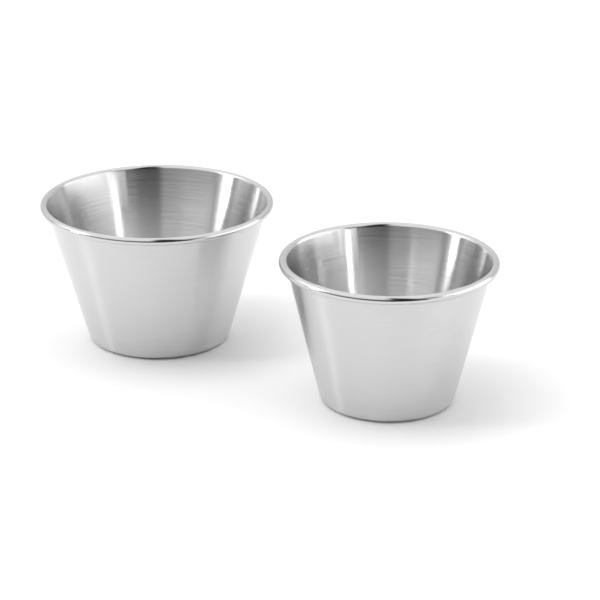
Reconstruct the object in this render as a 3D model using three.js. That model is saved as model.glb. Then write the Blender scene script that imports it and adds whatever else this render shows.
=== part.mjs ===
// A set of two stainless-steel flan moulds, a large one and a small one, standing side by side.
//
// Each mould is one deep-drawn pressing of thin sheet: a flat base, a rounded base corner, a plain
// tapered wall, and a rim that is curled outwards into a hollow bead with an open seam underneath.
//
// Millimetres, +Z up. Z = 0 is the surface that the moulds stand on, X runs through both axes,
// and the origin lies midway between the two outermost points of the rims.

import * as THREE from "three";

// Large mould
const LARGE_RIM_DIAMETER = 80.4; // across the outside of the bead
const LARGE_HEIGHT = 49.4; // from the table to the top of the bead
const LARGE_BASE_FLAT = 45.8; // diameter of the flat that stands on the table
const LARGE_BEAD_DIAMETER = 2.5; // thickness of the rolled rim

// Small mould
const SMALL_RIM_DIAMETER = 71.5;
const SMALL_HEIGHT = 48.5;
const SMALL_BASE_FLAT = 41.0;
const SMALL_BEAD_DIAMETER = 2.7;

// Both moulds
const SHEET = 0.5; // thickness of the steel
const BASE_CORNER_RADIUS = 2.0; // outside radius between the base and the wall
const CURL_SEAM_GAP = 0.3; // from the cut edge of the curl to the wall
const RIM_TO_RIM_GAP = 19.2; // free space between the two beads

// Facets of the round surfaces
const FACETS_AROUND = 64;
const CORNER_FACETS = 4;
const CURL_FACETS = 14;

const DOWN = -Math.PI / 2;
const FULL_TURN = 2 * Math.PI;

const steel = new THREE.MeshStandardMaterial({
  name: "satin_stainless_steel",
  color: 0xc8c9ca,
  roughness: 0.28,
  metalness: 1.0,
});

// Points of an arc in the plane of the profile, where x is the radius and y is the height.
function arc(centre, radius, from, to, facets) {
  const clockwise = from > to;
  return new THREE.EllipseCurve(centre.x, centre.y, radius, radius, from, to, clockwise).getPoints(facets);
}

// Outline of the sheet on one side of the axis. It runs along the outside from the middle of the
// base up to the cut edge of the curl, and back along the inside.
function sheetProfile({ rimDiameter, height, baseFlat, beadDiameter }) {
  const beadRadius = beadDiameter / 2;
  const hollowRadius = beadRadius - SHEET;
  const cornerCentre = new THREE.Vector2(baseFlat / 2, BASE_CORNER_RADIUS);
  const curlCentre = new THREE.Vector2(rimDiameter / 2 - beadRadius, height - beadRadius);

  // The wall's outer face touches the base corner from outside and the hollow of the curl from the
  // axis side. Its lean is the angle between it and the vertical.
  const span = curlCentre.clone().sub(cornerCentre);
  const lean = Math.acos((BASE_CORNER_RADIUS + hollowRadius) / span.length()) - span.angle();

  // The curl leaves the wall, goes over the top and ends under the bead, short of the wall by the gap.
  const curlStart = Math.PI - lean;
  const openAngle = Math.acos((hollowRadius - CURL_SEAM_GAP) / beadRadius);
  const curlEnd = curlStart - (FULL_TURN - openAngle);

  return [
    new THREE.Vector2(0, 0),
    ...arc(cornerCentre, BASE_CORNER_RADIUS, DOWN, -lean, CORNER_FACETS),
    ...arc(curlCentre, hollowRadius, curlStart, curlEnd, CURL_FACETS),
    ...arc(curlCentre, beadRadius, curlEnd, curlStart, CURL_FACETS),
    ...arc(cornerCentre, BASE_CORNER_RADIUS - SHEET, -lean, DOWN, CORNER_FACETS),
    new THREE.Vector2(0, SHEET),
  ];
}

// One mould, turned about the vertical through axisX.
function mould(name, axisX, sizes) {
  const geometry = new THREE.LatheGeometry(sheetProfile(sizes), FACETS_AROUND);
  geometry.rotateX(Math.PI / 2); // the lathe turns about Y, and the mould stands along Z
  const mesh = new THREE.Mesh(geometry, steel);
  mesh.name = name;
  mesh.position.x = axisX;
  return mesh;
}

const overallLength = LARGE_RIM_DIAMETER + RIM_TO_RIM_GAP + SMALL_RIM_DIAMETER;
const largeAxisX = (LARGE_RIM_DIAMETER - overallLength) / 2;
const smallAxisX = (overallLength - SMALL_RIM_DIAMETER) / 2;

const flanMoulds = new THREE.Group();
flanMoulds.name = "flan_moulds";
flanMoulds.add(
  mould("large_mould", largeAxisX, {
    rimDiameter: LARGE_RIM_DIAMETER,
    height: LARGE_HEIGHT,
    baseFlat: LARGE_BASE_FLAT,
    beadDiameter: LARGE_BEAD_DIAMETER,
  }),
  mould("small_mould", smallAxisX, {
    rimDiameter: SMALL_RIM_DIAMETER,
    height: SMALL_HEIGHT,
    baseFlat: SMALL_BASE_FLAT,
    beadDiameter: SMALL_BEAD_DIAMETER,
  }),
);

export default flanMoulds;
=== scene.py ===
# %% [markdown]
# # Two satin steel flan moulds
#
# A flan mould is a small tapered cup for baking one custard and turning it out on a plate. This
# set has a large and a small one. Each is a single pressing of thin stainless sheet: a flat base,
# a rounded base corner, a plain wall and a rim that is curled outwards into a hollow bead.
#
# The CAD model already has the right sizes, but its round surfaces are facets. In bright metal
# every facet shows as a stripe, so this script makes both pressings again as smooth surfaces,
# gives them their steel finishes and puts them in a small studio.

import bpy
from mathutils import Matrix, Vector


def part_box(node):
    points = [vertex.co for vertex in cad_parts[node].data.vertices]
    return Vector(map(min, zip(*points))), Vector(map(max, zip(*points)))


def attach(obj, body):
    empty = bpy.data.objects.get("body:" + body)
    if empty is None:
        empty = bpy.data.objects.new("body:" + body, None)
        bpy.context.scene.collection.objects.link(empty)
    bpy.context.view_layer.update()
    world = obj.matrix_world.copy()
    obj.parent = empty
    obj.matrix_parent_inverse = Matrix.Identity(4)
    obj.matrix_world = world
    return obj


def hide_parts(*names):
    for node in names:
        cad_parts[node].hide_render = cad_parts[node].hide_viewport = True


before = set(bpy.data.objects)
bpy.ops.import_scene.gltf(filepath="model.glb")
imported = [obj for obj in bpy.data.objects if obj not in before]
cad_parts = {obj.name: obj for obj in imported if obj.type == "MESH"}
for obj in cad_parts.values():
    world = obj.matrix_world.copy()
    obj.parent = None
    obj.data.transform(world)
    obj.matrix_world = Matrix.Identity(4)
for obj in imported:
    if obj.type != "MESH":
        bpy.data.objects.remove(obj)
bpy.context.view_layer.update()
print("Nodes:", sorted(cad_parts))

# %% Import Blender's modules
import math
from itertools import pairwise

import bmesh
import bpy
from mathutils import Matrix, Vector

MM = 0.001
FULL_TURN = 2 * math.pi
scene = bpy.context.scene
scene.view_settings.view_transform = "Standard"

# %% [markdown]
# ## The camera
#
# The set is seen from a little above, with a long lens, so the two cups look almost as they would
# on a drawing. Directions in the studio are given as an azimuth and an elevation. Azimuth 0 is
# straight in front of the set, on the -Y side, and it grows towards +X. The camera comes first,
# because the lights are placed around it afterwards.

# %% Place the camera
CAMERA_AZIMUTH = 34.8
CAMERA_ELEVATION = 21.32
CAMERA_ROLL = 0.2
CAMERA_DISTANCE = 835.5 * MM
AIM_POINT = Vector((-23.2, 54.6, 0.0)) * MM
LENS_MM = 137.2


def direction(azimuth, elevation):
    """Unit vector from the moulds to a place in the studio, from two angles in degrees."""
    turn = math.radians(azimuth)
    rise = math.radians(elevation)
    level = math.cos(rise)
    return Vector((math.sin(turn) * level, -math.cos(turn) * level, math.sin(rise)))


camera = bpy.data.objects.new("camera", bpy.data.cameras.new("camera"))
camera.data.lens = LENS_MM
to_camera = direction(CAMERA_AZIMUTH, CAMERA_ELEVATION)
camera.location = AIM_POINT + to_camera * CAMERA_DISTANCE
facing = to_camera.to_track_quat("Z", "Y").to_matrix()
roll = Matrix.Rotation(math.radians(CAMERA_ROLL), 3, "Z")
camera.rotation_euler = (facing @ roll).to_euler()
scene.collection.objects.link(camera)
scene.camera = camera
print("Camera at, mm:", [round(place / MM) for place in camera.location])

# %% [markdown]
# ## One pressing from one line
#
# A deep-drawn cup is the same all round, so its whole shape is in one line from the middle of the
# base to the cut edge of the curl. The line here is the face that touches the food. A curve with a
# Screw modifier could carry it too, but in a bmesh every bend is an exact arc and the line can be
# measured as it grows. It is drawn with the two operators that a press line would understand: go
# straight, and bend about a centre. Bending is `spin` on a single vertex, which leaves an arc
# behind it.
#
# The rim diameter, the height and the axis come from the frame. The base flat, the bead and the
# sheet can't be read from a box, so they are named here.

# %% Name the sizes and the two ways to draw
SHEET = 0.5 * MM
BASE_CORNER_RADIUS = 2.0 * MM
CURL_SEAM_GAP = 0.3 * MM
BASE_FLAT = {"large_mould": 45.8 * MM, "small_mould": 41.0 * MM}
BEAD = {"large_mould": 2.5 * MM, "small_mould": 2.7 * MM}


def go_straight(shape, tip, place):
    """Extrude the end of the line to a place and return the new end."""
    new_tip = bmesh.ops.extrude_vert_indiv(shape, verts=[tip])["verts"][0]
    new_tip.co = place
    return new_tip


def bend(shape, tip, centre, angle, steps):
    """Carry the end of the line round a centre. A positive angle turns from +X towards +Z."""
    made = bmesh.ops.spin(
        shape, geom=[tip], cent=centre, axis=(0, -1, 0), angle=angle, steps=steps, use_duplicate=False
    )
    return next(item for item in made["geom_last"] if isinstance(item, bmesh.types.BMVert))


print("Sheet, mm:", SHEET / MM)

# %% [markdown]
# The wall is the straight line that touches both bends. The base corner's centre lies inside the
# cup and the curl's centre lies outside it, so the line passes between the two arcs, and one
# `acos` gives its lean. A short straight stretch on both sides of each bend keeps the smooth
# shading of the bend from creeping along the flat metal.

# %% Draw the line of one pressing
CORNER_STEPS = 16
CURL_STEPS = 40
WALL_CUTS = 11
HOLDING_EDGE = 0.25 * MM


def draw_pressing_line(shape, node):
    """Draw the food side of a mould as a chain of edges, in the XZ plane through its axis.

    Returns the foot of the axis and the number of the vertex where the wall ends and the curl starts.
    """
    low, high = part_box(node)
    axis = Vector(((low.x + high.x) / 2, (low.y + high.y) / 2, 0))
    bead_radius = BEAD[node] / 2
    corner = axis + Vector((BASE_FLAT[node] / 2, 0, BASE_CORNER_RADIUS))
    curl = Vector((high.x - bead_radius, axis.y, high.z - bead_radius))

    hollow_radius = bead_radius - SHEET
    span = curl - corner
    lean = math.acos((BASE_CORNER_RADIUS + hollow_radius) / span.length) - math.atan2(span.z, span.x)
    up_the_wall = Vector((math.sin(lean), 0, math.cos(lean)))
    to_axis = Vector((-math.cos(lean), 0, math.sin(lean)))
    wall_top = curl + to_axis * bead_radius
    seam = math.acos((hollow_radius - CURL_SEAM_GAP) / bead_radius)

    tip = shape.verts.new(axis + Vector((0, 0, SHEET)))
    corner_start = corner - Vector((0, 0, BASE_CORNER_RADIUS - SHEET))
    tip = go_straight(shape, tip, corner_start - Vector((HOLDING_EDGE, 0, 0)))
    tip = go_straight(shape, tip, corner_start)
    tip = bend(shape, tip, corner, math.pi / 2 - lean, CORNER_STEPS)
    tip = go_straight(shape, tip, tip.co + up_the_wall * HOLDING_EDGE)
    wall_foot = tip.co.copy()
    wall_head = wall_top - up_the_wall * HOLDING_EDGE
    for cut in range(WALL_CUTS):
        tip = go_straight(shape, tip, wall_foot.lerp(wall_head, (cut + 1) / WALL_CUTS))
    tip = go_straight(shape, tip, wall_top)
    wall_end = len(shape.verts) - 1
    bend(shape, tip, curl, seam - FULL_TURN, CURL_STEPS)
    print(node, "wall leans", round(math.degrees(lean), 2), "degrees")
    return axis, wall_end


# %% [markdown]
# ## Keep track of where on the sheet we are
#
# The brushed finish runs round the cup, so its material needs to know two directions at every
# point: along the line and around the axis. The line's length is stored on its vertices before the
# spin, which copies it to every turn. Afterwards it becomes U, and the turn around the axis
# becomes V. A face that crosses the seam of the turn gets a V past 1 rather than a jump back to 0.

# %% Measure along the line and around the axis
PRESSING_UV = "along_and_around"
LINE_SHARE = "line_share"
MERGE_DISTANCE = 0.001 * MM


def measure_line(shape):
    """Store each vertex's share of the line's length, from 0 in the middle of the base to 1."""
    shape.verts.ensure_lookup_table()
    share = shape.verts.layers.float.new(LINE_SHARE)
    lengths = [0.0]
    for before, after in pairwise(shape.verts):
        lengths.append(lengths[-1] + (after.co - before.co).length)
    for vert, length in zip(shape.verts, lengths):
        vert[share] = length / lengths[-1]
    return lengths[-1], share


def turn_of(place, axis):
    """How far a place lies round the axis, in turns."""
    return math.atan2(place.y - axis.y, place.x - axis.x) / FULL_TURN


def write_uv(shape, axis):
    """U runs along the pressing line and V round the axis."""
    share = shape.verts.layers.float[LINE_SHARE]
    uv_layer = shape.loops.layers.uv.new(PRESSING_UV)
    for face in shape.faces:
        face_turn = turn_of(face.calc_center_median(), axis)
        for corner in face.loops:
            place = corner.vert.co
            on_axis = (place - axis).xy.length < MERGE_DISTANCE
            turn = face_turn if on_axis else turn_of(place, axis)
            turn += round(face_turn - turn)
            corner[uv_layer].uv = (corner.vert[share], turn)


print("UV map:", PRESSING_UV)

# %% [markdown]
# ## Spin the line into a cup
#
# One full spin makes the food side of a cup. The Solidify modifier then gives it the thickness of
# the sheet, away from the food. Two material slots tell the wall from the bead, and the modifier
# takes the next two for the outside, so the inside, the outside and the bead can differ.

# %% Spin both pressings
STEPS_AROUND = 256
WALL_SLOT = 0
BEAD_SLOT = 1
OUTSIDE_SLOTS = 2  # how far the outside's material slots come after the inside's


def make_pressing(node):
    """One mould as a smooth sheet with a thickness, in place of its CAD node."""
    shape = bmesh.new()
    axis, wall_end = draw_pressing_line(shape, node)
    length, share = measure_line(shape)
    bead_start = shape.verts[wall_end][share]
    bmesh.ops.spin(
        shape,
        geom=shape.verts[:] + shape.edges[:],
        cent=axis,
        axis=(0, 0, 1),
        angle=FULL_TURN,
        steps=STEPS_AROUND,
        use_merge=True,
        use_duplicate=False,
    )
    bmesh.ops.remove_doubles(shape, verts=shape.verts, dist=MERGE_DISTANCE)
    bmesh.ops.recalc_face_normals(shape, faces=shape.faces)
    write_uv(shape, axis)
    for face in shape.faces:
        face.smooth = True
        in_bead = all(vert[share] >= bead_start for vert in face.verts)
        face.material_index = BEAD_SLOT if in_bead else WALL_SLOT
    mesh = bpy.data.meshes.new(node + "_pressing")
    shape.to_mesh(mesh)
    shape.free()

    pressing = bpy.data.objects.new(node + "_pressing", mesh)
    scene.collection.objects.link(pressing)
    sheet = pressing.modifiers.new("Sheet", "SOLIDIFY")
    sheet.thickness = SHEET
    sheet.offset = -1
    sheet.use_even_offset = True
    sheet.material_offset = OUTSIDE_SLOTS
    print(node, "line", round(length / MM, 1), "mm,", len(mesh.polygons), "faces before the thickness")
    return pressing


moulds = {node: make_pressing(node) for node in BASE_FLAT}

# %% [markdown]
# ## Satin steel
#
# The sheet is brushed round and round, so it is covered in fine rings. They blur a reflection
# along the line of the pressing and hardly at all around the axis, which is why lamps show as tall
# bright stripes. The Principled shader calls this anisotropy. Its rough direction is the tangent,
# which is taken from U.
#
# The rings themselves are noise, stretched round the axis. To close the pattern where a turn ends,
# V goes through a sine and a cosine, so the noise is read on a ring and not on a strip. Every
# finish uses the rings, so they are a node group.

# %% Make the node group of brushed rings
NOISE_SCALE = 1.0
NOISE_DETAIL = 3.0


def link(tree, source, target):
    """Join two sockets of a node tree."""
    tree.links.new(source, target)


def math_node(tree, operation, first, second=None):
    """A Math node with its inputs joined or set, returning its output."""
    node = tree.nodes.new("ShaderNodeMath")
    node.operation = operation
    for socket, value in zip(node.inputs, (first, second)):
        if isinstance(value, bpy.types.NodeSocket):
            link(tree, value, socket)
        elif value is not None:
            socket.default_value = value
    return node.outputs["Value"]


def make_brushed_rings():
    """Group with the inputs Rings and Streak, and one output that wanders around 0.5."""
    group = bpy.data.node_groups.new("brushed_rings", "ShaderNodeTree")
    for name, side in (("Rings", "INPUT"), ("Streak", "INPUT"), ("Pattern", "OUTPUT")):
        group.interface.new_socket(name, in_out=side, socket_type="NodeSocketFloat")
    entry = group.nodes.new("NodeGroupInput")
    result = group.nodes.new("NodeGroupOutput")

    uv = group.nodes.new("ShaderNodeUVMap")
    uv.uv_map = PRESSING_UV
    split = group.nodes.new("ShaderNodeSeparateXYZ")
    link(group, uv.outputs["UV"], split.inputs["Vector"])
    place = group.nodes.new("ShaderNodeCombineXYZ")
    across_rings = math_node(group, "MULTIPLY", split.outputs["X"], entry.outputs["Rings"])
    link(group, across_rings, place.inputs["X"])
    angle = math_node(group, "MULTIPLY", split.outputs["Y"], FULL_TURN)
    for wave, axis_name in (("COSINE", "Y"), ("SINE", "Z")):
        turn = math_node(group, wave, angle)
        along_rings = math_node(group, "MULTIPLY", turn, entry.outputs["Streak"])
        link(group, along_rings, place.inputs[axis_name])
    noise = group.nodes.new("ShaderNodeTexNoise")
    noise.inputs["Scale"].default_value = NOISE_SCALE
    noise.inputs["Detail"].default_value = NOISE_DETAIL
    link(group, place.outputs["Vector"], noise.inputs["Vector"])
    link(group, noise.outputs["Fac"], result.inputs["Pattern"])
    return group


brushed_rings = make_brushed_rings()
print("Node group:", brushed_rings.name, [item.name for item in brushed_rings.interface.items_tree])

# %% [markdown]
# Each mould has three finishes. The inside is brushed, and its rings can be seen. The outside is an
# even satin with fainter rings. The bead is rubbed smoother than both by the rolls that curl it. In
# all three the rings change the tone and the roughness a little and stand out as a faint relief.

# %% Write the recipe for a finish
PATTERN_LOW = 0.3  # the noise seldom goes below this
PATTERN_HIGH = 0.7  # or above this


def grey(level):
    """A neutral colour."""
    return (level, level, level, 1)


def spread(tree, pattern, low, high):
    """Map the ring pattern to the range from low to high."""
    node = tree.nodes.new("ShaderNodeMapRange")
    node.inputs["From Min"].default_value = PATTERN_LOW
    node.inputs["From Max"].default_value = PATTERN_HIGH
    node.inputs["To Min"].default_value = low
    node.inputs["To Max"].default_value = high
    link(tree, pattern, node.inputs["Value"])
    return node.outputs["Result"]


def blend_colours(tree, mask, first, second):
    """Mix two colours by a mask. Each colour is an output socket or four numbers."""
    mix = tree.nodes.new("ShaderNodeMix")
    mix.data_type = "RGBA"
    link(tree, mask, mix.inputs["Factor"])
    for name, colour in (("A", first), ("B", second)):
        if isinstance(colour, bpy.types.NodeSocket):
            link(tree, colour, mix.inputs[name])
        else:
            mix.inputs[name].default_value = colour
    return mix.outputs["Result"]


def make_steel(name, rings, streak, tone, roughness, anisotropy, ring_depth):
    """Stainless steel brushed round the axis. Tone and roughness are ranges, the depth is in metres."""
    material = bpy.data.materials.new(name)
    material.use_nodes = True
    tree = material.node_tree
    shader = tree.nodes["Principled BSDF"]
    shader.inputs["Metallic"].default_value = 1.0
    shader.inputs["Anisotropic"].default_value = anisotropy

    brushing = tree.nodes.new("ShaderNodeGroup")
    brushing.node_tree = brushed_rings
    brushing.inputs["Rings"].default_value = rings
    brushing.inputs["Streak"].default_value = streak
    pattern = brushing.outputs["Pattern"]

    dark_tone, pale_tone = (grey(level) for level in tone)
    colour = blend_colours(tree, spread(tree, pattern, 0, 1), dark_tone, pale_tone)
    link(tree, colour, shader.inputs["Base Color"])
    link(tree, spread(tree, pattern, *roughness), shader.inputs["Roughness"])

    along = tree.nodes.new("ShaderNodeTangent")
    along.direction_type = "UV_MAP"
    along.uv_map = PRESSING_UV
    link(tree, along.outputs["Tangent"], shader.inputs["Tangent"])

    relief = tree.nodes.new("ShaderNodeBump")
    relief.inputs["Distance"].default_value = ring_depth
    link(tree, pattern, relief.inputs["Height"])
    link(tree, relief.outputs["Normal"], shader.inputs["Normal"])
    print(name, len(tree.nodes), "nodes")
    return material


# %% Make the three finishes
brushed_steel = make_steel(
    "brushed_steel",
    rings=180,
    streak=2,
    tone=(0.64, 0.71),
    roughness=(0.195, 0.225),
    anisotropy=1.0,
    ring_depth=0.001 * MM,
)
satin_steel = make_steel(
    "satin_steel",
    rings=160,
    streak=3,
    tone=(0.63, 0.68),
    roughness=(0.22, 0.24),
    anisotropy=1.0,
    ring_depth=0.0002 * MM,
)
polished_steel = make_steel(
    "polished_steel",
    rings=400,
    streak=2,
    tone=(0.61, 0.65),
    roughness=(0.16, 0.20),
    anisotropy=0.4,
    ring_depth=0.0002 * MM,
)
for mould in moulds.values():
    for finish in (brushed_steel, polished_steel, satin_steel, polished_steel):
        mould.data.materials.append(finish)
    print(mould.name, [finish.name for finish in mould.data.materials])

# %% [markdown]
# ## Floor
#
# A plain white table, quite matt, so it takes soft shadows and shows no reflections. It ends a
# short way in front of the moulds, because the steel should find the dark front of the room there
# and not more white. To the camera, what lies past its edge is white as well.

# %% Make the floor
FLOOR_SIZE = 6.0  # metres
FLOOR_FRONT = 0.27  # metres from the origin to the front edge, towards the camera
FLOOR_DROP = 0.3 * MM  # a pressed base is never quite flat, so a thin dark gap shows under its edge
FLOOR_COLOUR = grey(0.91)

shape = bmesh.new()
bmesh.ops.create_grid(shape, x_segments=1, y_segments=1, size=FLOOR_SIZE / 2)
bmesh.ops.translate(shape, verts=shape.verts, vec=(0, FLOOR_SIZE / 2 - FLOOR_FRONT, -FLOOR_DROP))
turn = Matrix.Rotation(math.radians(CAMERA_AZIMUTH), 3, "Z")
bmesh.ops.rotate(shape, verts=shape.verts, cent=(0, 0, 0), matrix=turn)
floor_mesh = bpy.data.meshes.new("floor")
shape.to_mesh(floor_mesh)
shape.free()
floor = bpy.data.objects.new("floor", floor_mesh)
scene.collection.objects.link(floor)

floor_white = bpy.data.materials.new("floor_white")
floor_white.use_nodes = True
shader = floor_white.node_tree.nodes["Principled BSDF"]
shader.inputs["Base Color"].default_value = FLOOR_COLOUR
shader.inputs["Roughness"].default_value = 1.0
shader.inputs["Specular IOR Level"].default_value = 0.0
floor_mesh.materials.append(floor_white)
print("Floor:", FLOOR_SIZE, "m")

# %% [markdown]
# ## Studio light
#
# Steel shows what is around it, so most lamps are placed by what they should look like in the
# metal. A narrow, strong softbox on the left is the key light. A strip over its upper half, for
# the metal alone, carries its stripe down to the bottom of the cups. Beside it is a dim, tall lamp.
# On the right stand a low strip and a wide softbox, with more light along its lower edge. Two more
# lamps hang high, one almost overhead and one on the left. They light the table and are kept out of
# the reflections.
#
# Azimuths are counted from the camera, to the right.

# %% Place the lamps
LAMP_DISTANCE = 1.2  # metres from the origin


def place_softbox(name, azimuths, elevations, radiance, in_metal=True, on_table=True):
    """A rectangular lamp that fills a range of azimuths and elevations, seen from the moulds.

    A lamp that isn't in the metal lights the table and stays out of reflections. One that isn't
    on the table is seen in the metal and leaves the table as it is.
    """
    left, right = azimuths
    bottom, top = elevations
    lamp = bpy.data.lights.new(name, "AREA")
    lamp.shape = "RECTANGLE"
    lamp.size = 2 * LAMP_DISTANCE * math.tan(math.radians(right - left) / 2)
    lamp.size_y = 2 * LAMP_DISTANCE * math.tan(math.radians(top - bottom) / 2)
    lamp.energy = radiance * math.pi * lamp.size * lamp.size_y
    outward = direction(CAMERA_AZIMUTH + (left + right) / 2, (bottom + top) / 2)
    softbox = bpy.data.objects.new(name, lamp)
    softbox.location = outward * LAMP_DISTANCE
    softbox.visible_camera = False
    softbox.visible_glossy = in_metal
    softbox.visible_diffuse = on_table
    softbox.rotation_euler = outward.to_track_quat("Z", "Y").to_euler()
    scene.collection.objects.link(softbox)
    print(name, round(lamp.size, 2), "by", round(lamp.size_y, 2), "m,", round(lamp.energy, 1), "W")


place_softbox("left_key", azimuths=(-87, -78), elevations=(11, 37), radiance=10.0)
place_softbox("left_strip", azimuths=(-86, -81), elevations=(22, 38), radiance=11.0, on_table=False)
place_softbox("left_fill", azimuths=(-115, -94), elevations=(1, 44), radiance=0.7)
place_softbox("right_strip", azimuths=(37, 58), elevations=(1, 15), radiance=1.7)
place_softbox("right_softbox", azimuths=(57, 121), elevations=(1, 42), radiance=1.45)
place_softbox("right_low", azimuths=(66, 116), elevations=(1, 9), radiance=1.5)
place_softbox("table_overhead", azimuths=(-104, -76), elevations=(70, 98), radiance=1.6, in_metal=False)
place_softbox("table_left", azimuths=(-90, -70), elevations=(54, 74), radiance=3.2, in_metal=False)

# %% [markdown]
# ## The room
#
# The room is pale behind the set and overhead and dark in front. A narrow gap beside the camera
# stays dark all the way up. Each of these zones is a mask: how near a direction comes to the middle
# of its zone. Two of the masks leave the elevation out, by laying the direction flat first. A
# picture of a real studio would do as well, but a mask can be turned and widened by a number.

# %% Make a mask for a zone of the room
def vector_node(tree, operation, first, second=None):
    """A Vector Math node with its first input joined and its second one set."""
    node = tree.nodes.new("ShaderNodeVectorMath")
    node.operation = operation
    link(tree, first, node.inputs[0])
    if second is not None:
        node.inputs[1].default_value = second
    return node


def glow_towards(tree, ray, outward, near_angle, far_angle):
    """A mask that is 1 within the near angle of a direction and fades to 0 at the far angle."""
    along = vector_node(tree, "DOT_PRODUCT", ray, outward)
    fade = tree.nodes.new("ShaderNodeMapRange")
    fade.interpolation_type = "SMOOTHSTEP"
    fade.inputs["From Min"].default_value = math.cos(math.radians(far_angle))
    fade.inputs["From Max"].default_value = math.cos(math.radians(near_angle))
    link(tree, along.outputs["Value"], fade.inputs["Value"])
    return fade.outputs["Result"]


# %% Light the room
FRONT_DARK = grey(0.0)
BACK_PALE = grey(0.77)
CEILING_PALE = grey(1.16)
CAMERA_GAP_DARK = grey(0.02)
WHITE = grey(1.0)

# Middle of each zone, with azimuths counted from the camera
BACK_MIDDLE = direction(CAMERA_AZIMUTH + 180, 0)
CEILING_MIDDLE = direction(CAMERA_AZIMUTH - 90, 79)
CAMERA_GAP_MIDDLE = direction(CAMERA_AZIMUTH + 14, 0)

world = bpy.data.worlds.new("studio")
scene.world = world
world.use_nodes = True
tree = world.node_tree
ray = tree.nodes.new("ShaderNodeTexCoord").outputs["Generated"]
flat_ray = vector_node(tree, "MULTIPLY", ray, (1, 1, 0)).outputs["Vector"]
level_ray = vector_node(tree, "NORMALIZE", flat_ray).outputs["Vector"]

back = glow_towards(tree, level_ray, BACK_MIDDLE, near_angle=50, far_angle=70)
room = blend_colours(tree, back, FRONT_DARK, BACK_PALE)
ceiling = glow_towards(tree, ray, CEILING_MIDDLE, near_angle=32, far_angle=84)
room = blend_colours(tree, ceiling, room, CEILING_PALE)
camera_gap = glow_towards(tree, level_ray, CAMERA_GAP_MIDDLE, near_angle=11, far_angle=19)
room = blend_colours(tree, camera_gap, room, CAMERA_GAP_DARK)
rays = tree.nodes.new("ShaderNodeLightPath")
room = blend_colours(tree, rays.outputs["Is Camera Ray"], room, WHITE)
link(tree, room, tree.nodes["Background"].inputs["Color"])
print("Room:", len(tree.nodes), "nodes")

# %% [markdown]
# ## Join the moulds to the frame
#
# Each pressing takes the place of its CAD node and moves with that node's body.

# %% Dress the frame and finish
for node, mould in moulds.items():
    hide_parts(node)
    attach(mould, node)
